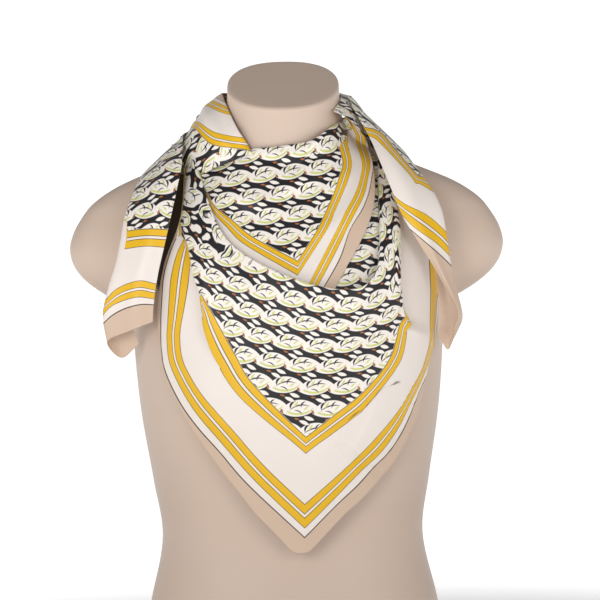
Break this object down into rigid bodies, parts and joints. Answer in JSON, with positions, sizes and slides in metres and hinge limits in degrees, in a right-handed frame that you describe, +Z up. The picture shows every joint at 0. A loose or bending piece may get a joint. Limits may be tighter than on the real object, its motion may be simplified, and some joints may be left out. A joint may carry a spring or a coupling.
{
  "type": "silk square scarf on torso dress form",
  "caption": "Silk square scarf wrapped point-down round the neck of a headless, armless torso dress form, its ends brought forward over the shoulders.",
  "frame": {"origin": "middle of the torso form's flat base, on the surface that it stands on", "axes": "+Z up through the neck, -Y the front where the scarf's point hangs, +X to the right as seen from the front"},
  "size_m": [0.4546, 0.2529, 0.6852],
  "materials": {
    "silk": "satin",
    "form_skin": "satin"
  },
  "bodies": {
    "root": {"torso_form": "form_skin", "front_inner": "silk", "front_tuck": "silk", "front_drape": "silk", "collar_left": "silk", "collar_right": "silk", "nape_under": "silk", "nape_over": "silk", "end_left": "silk", "end_right": "silk"}
  },
  "joints": []
}
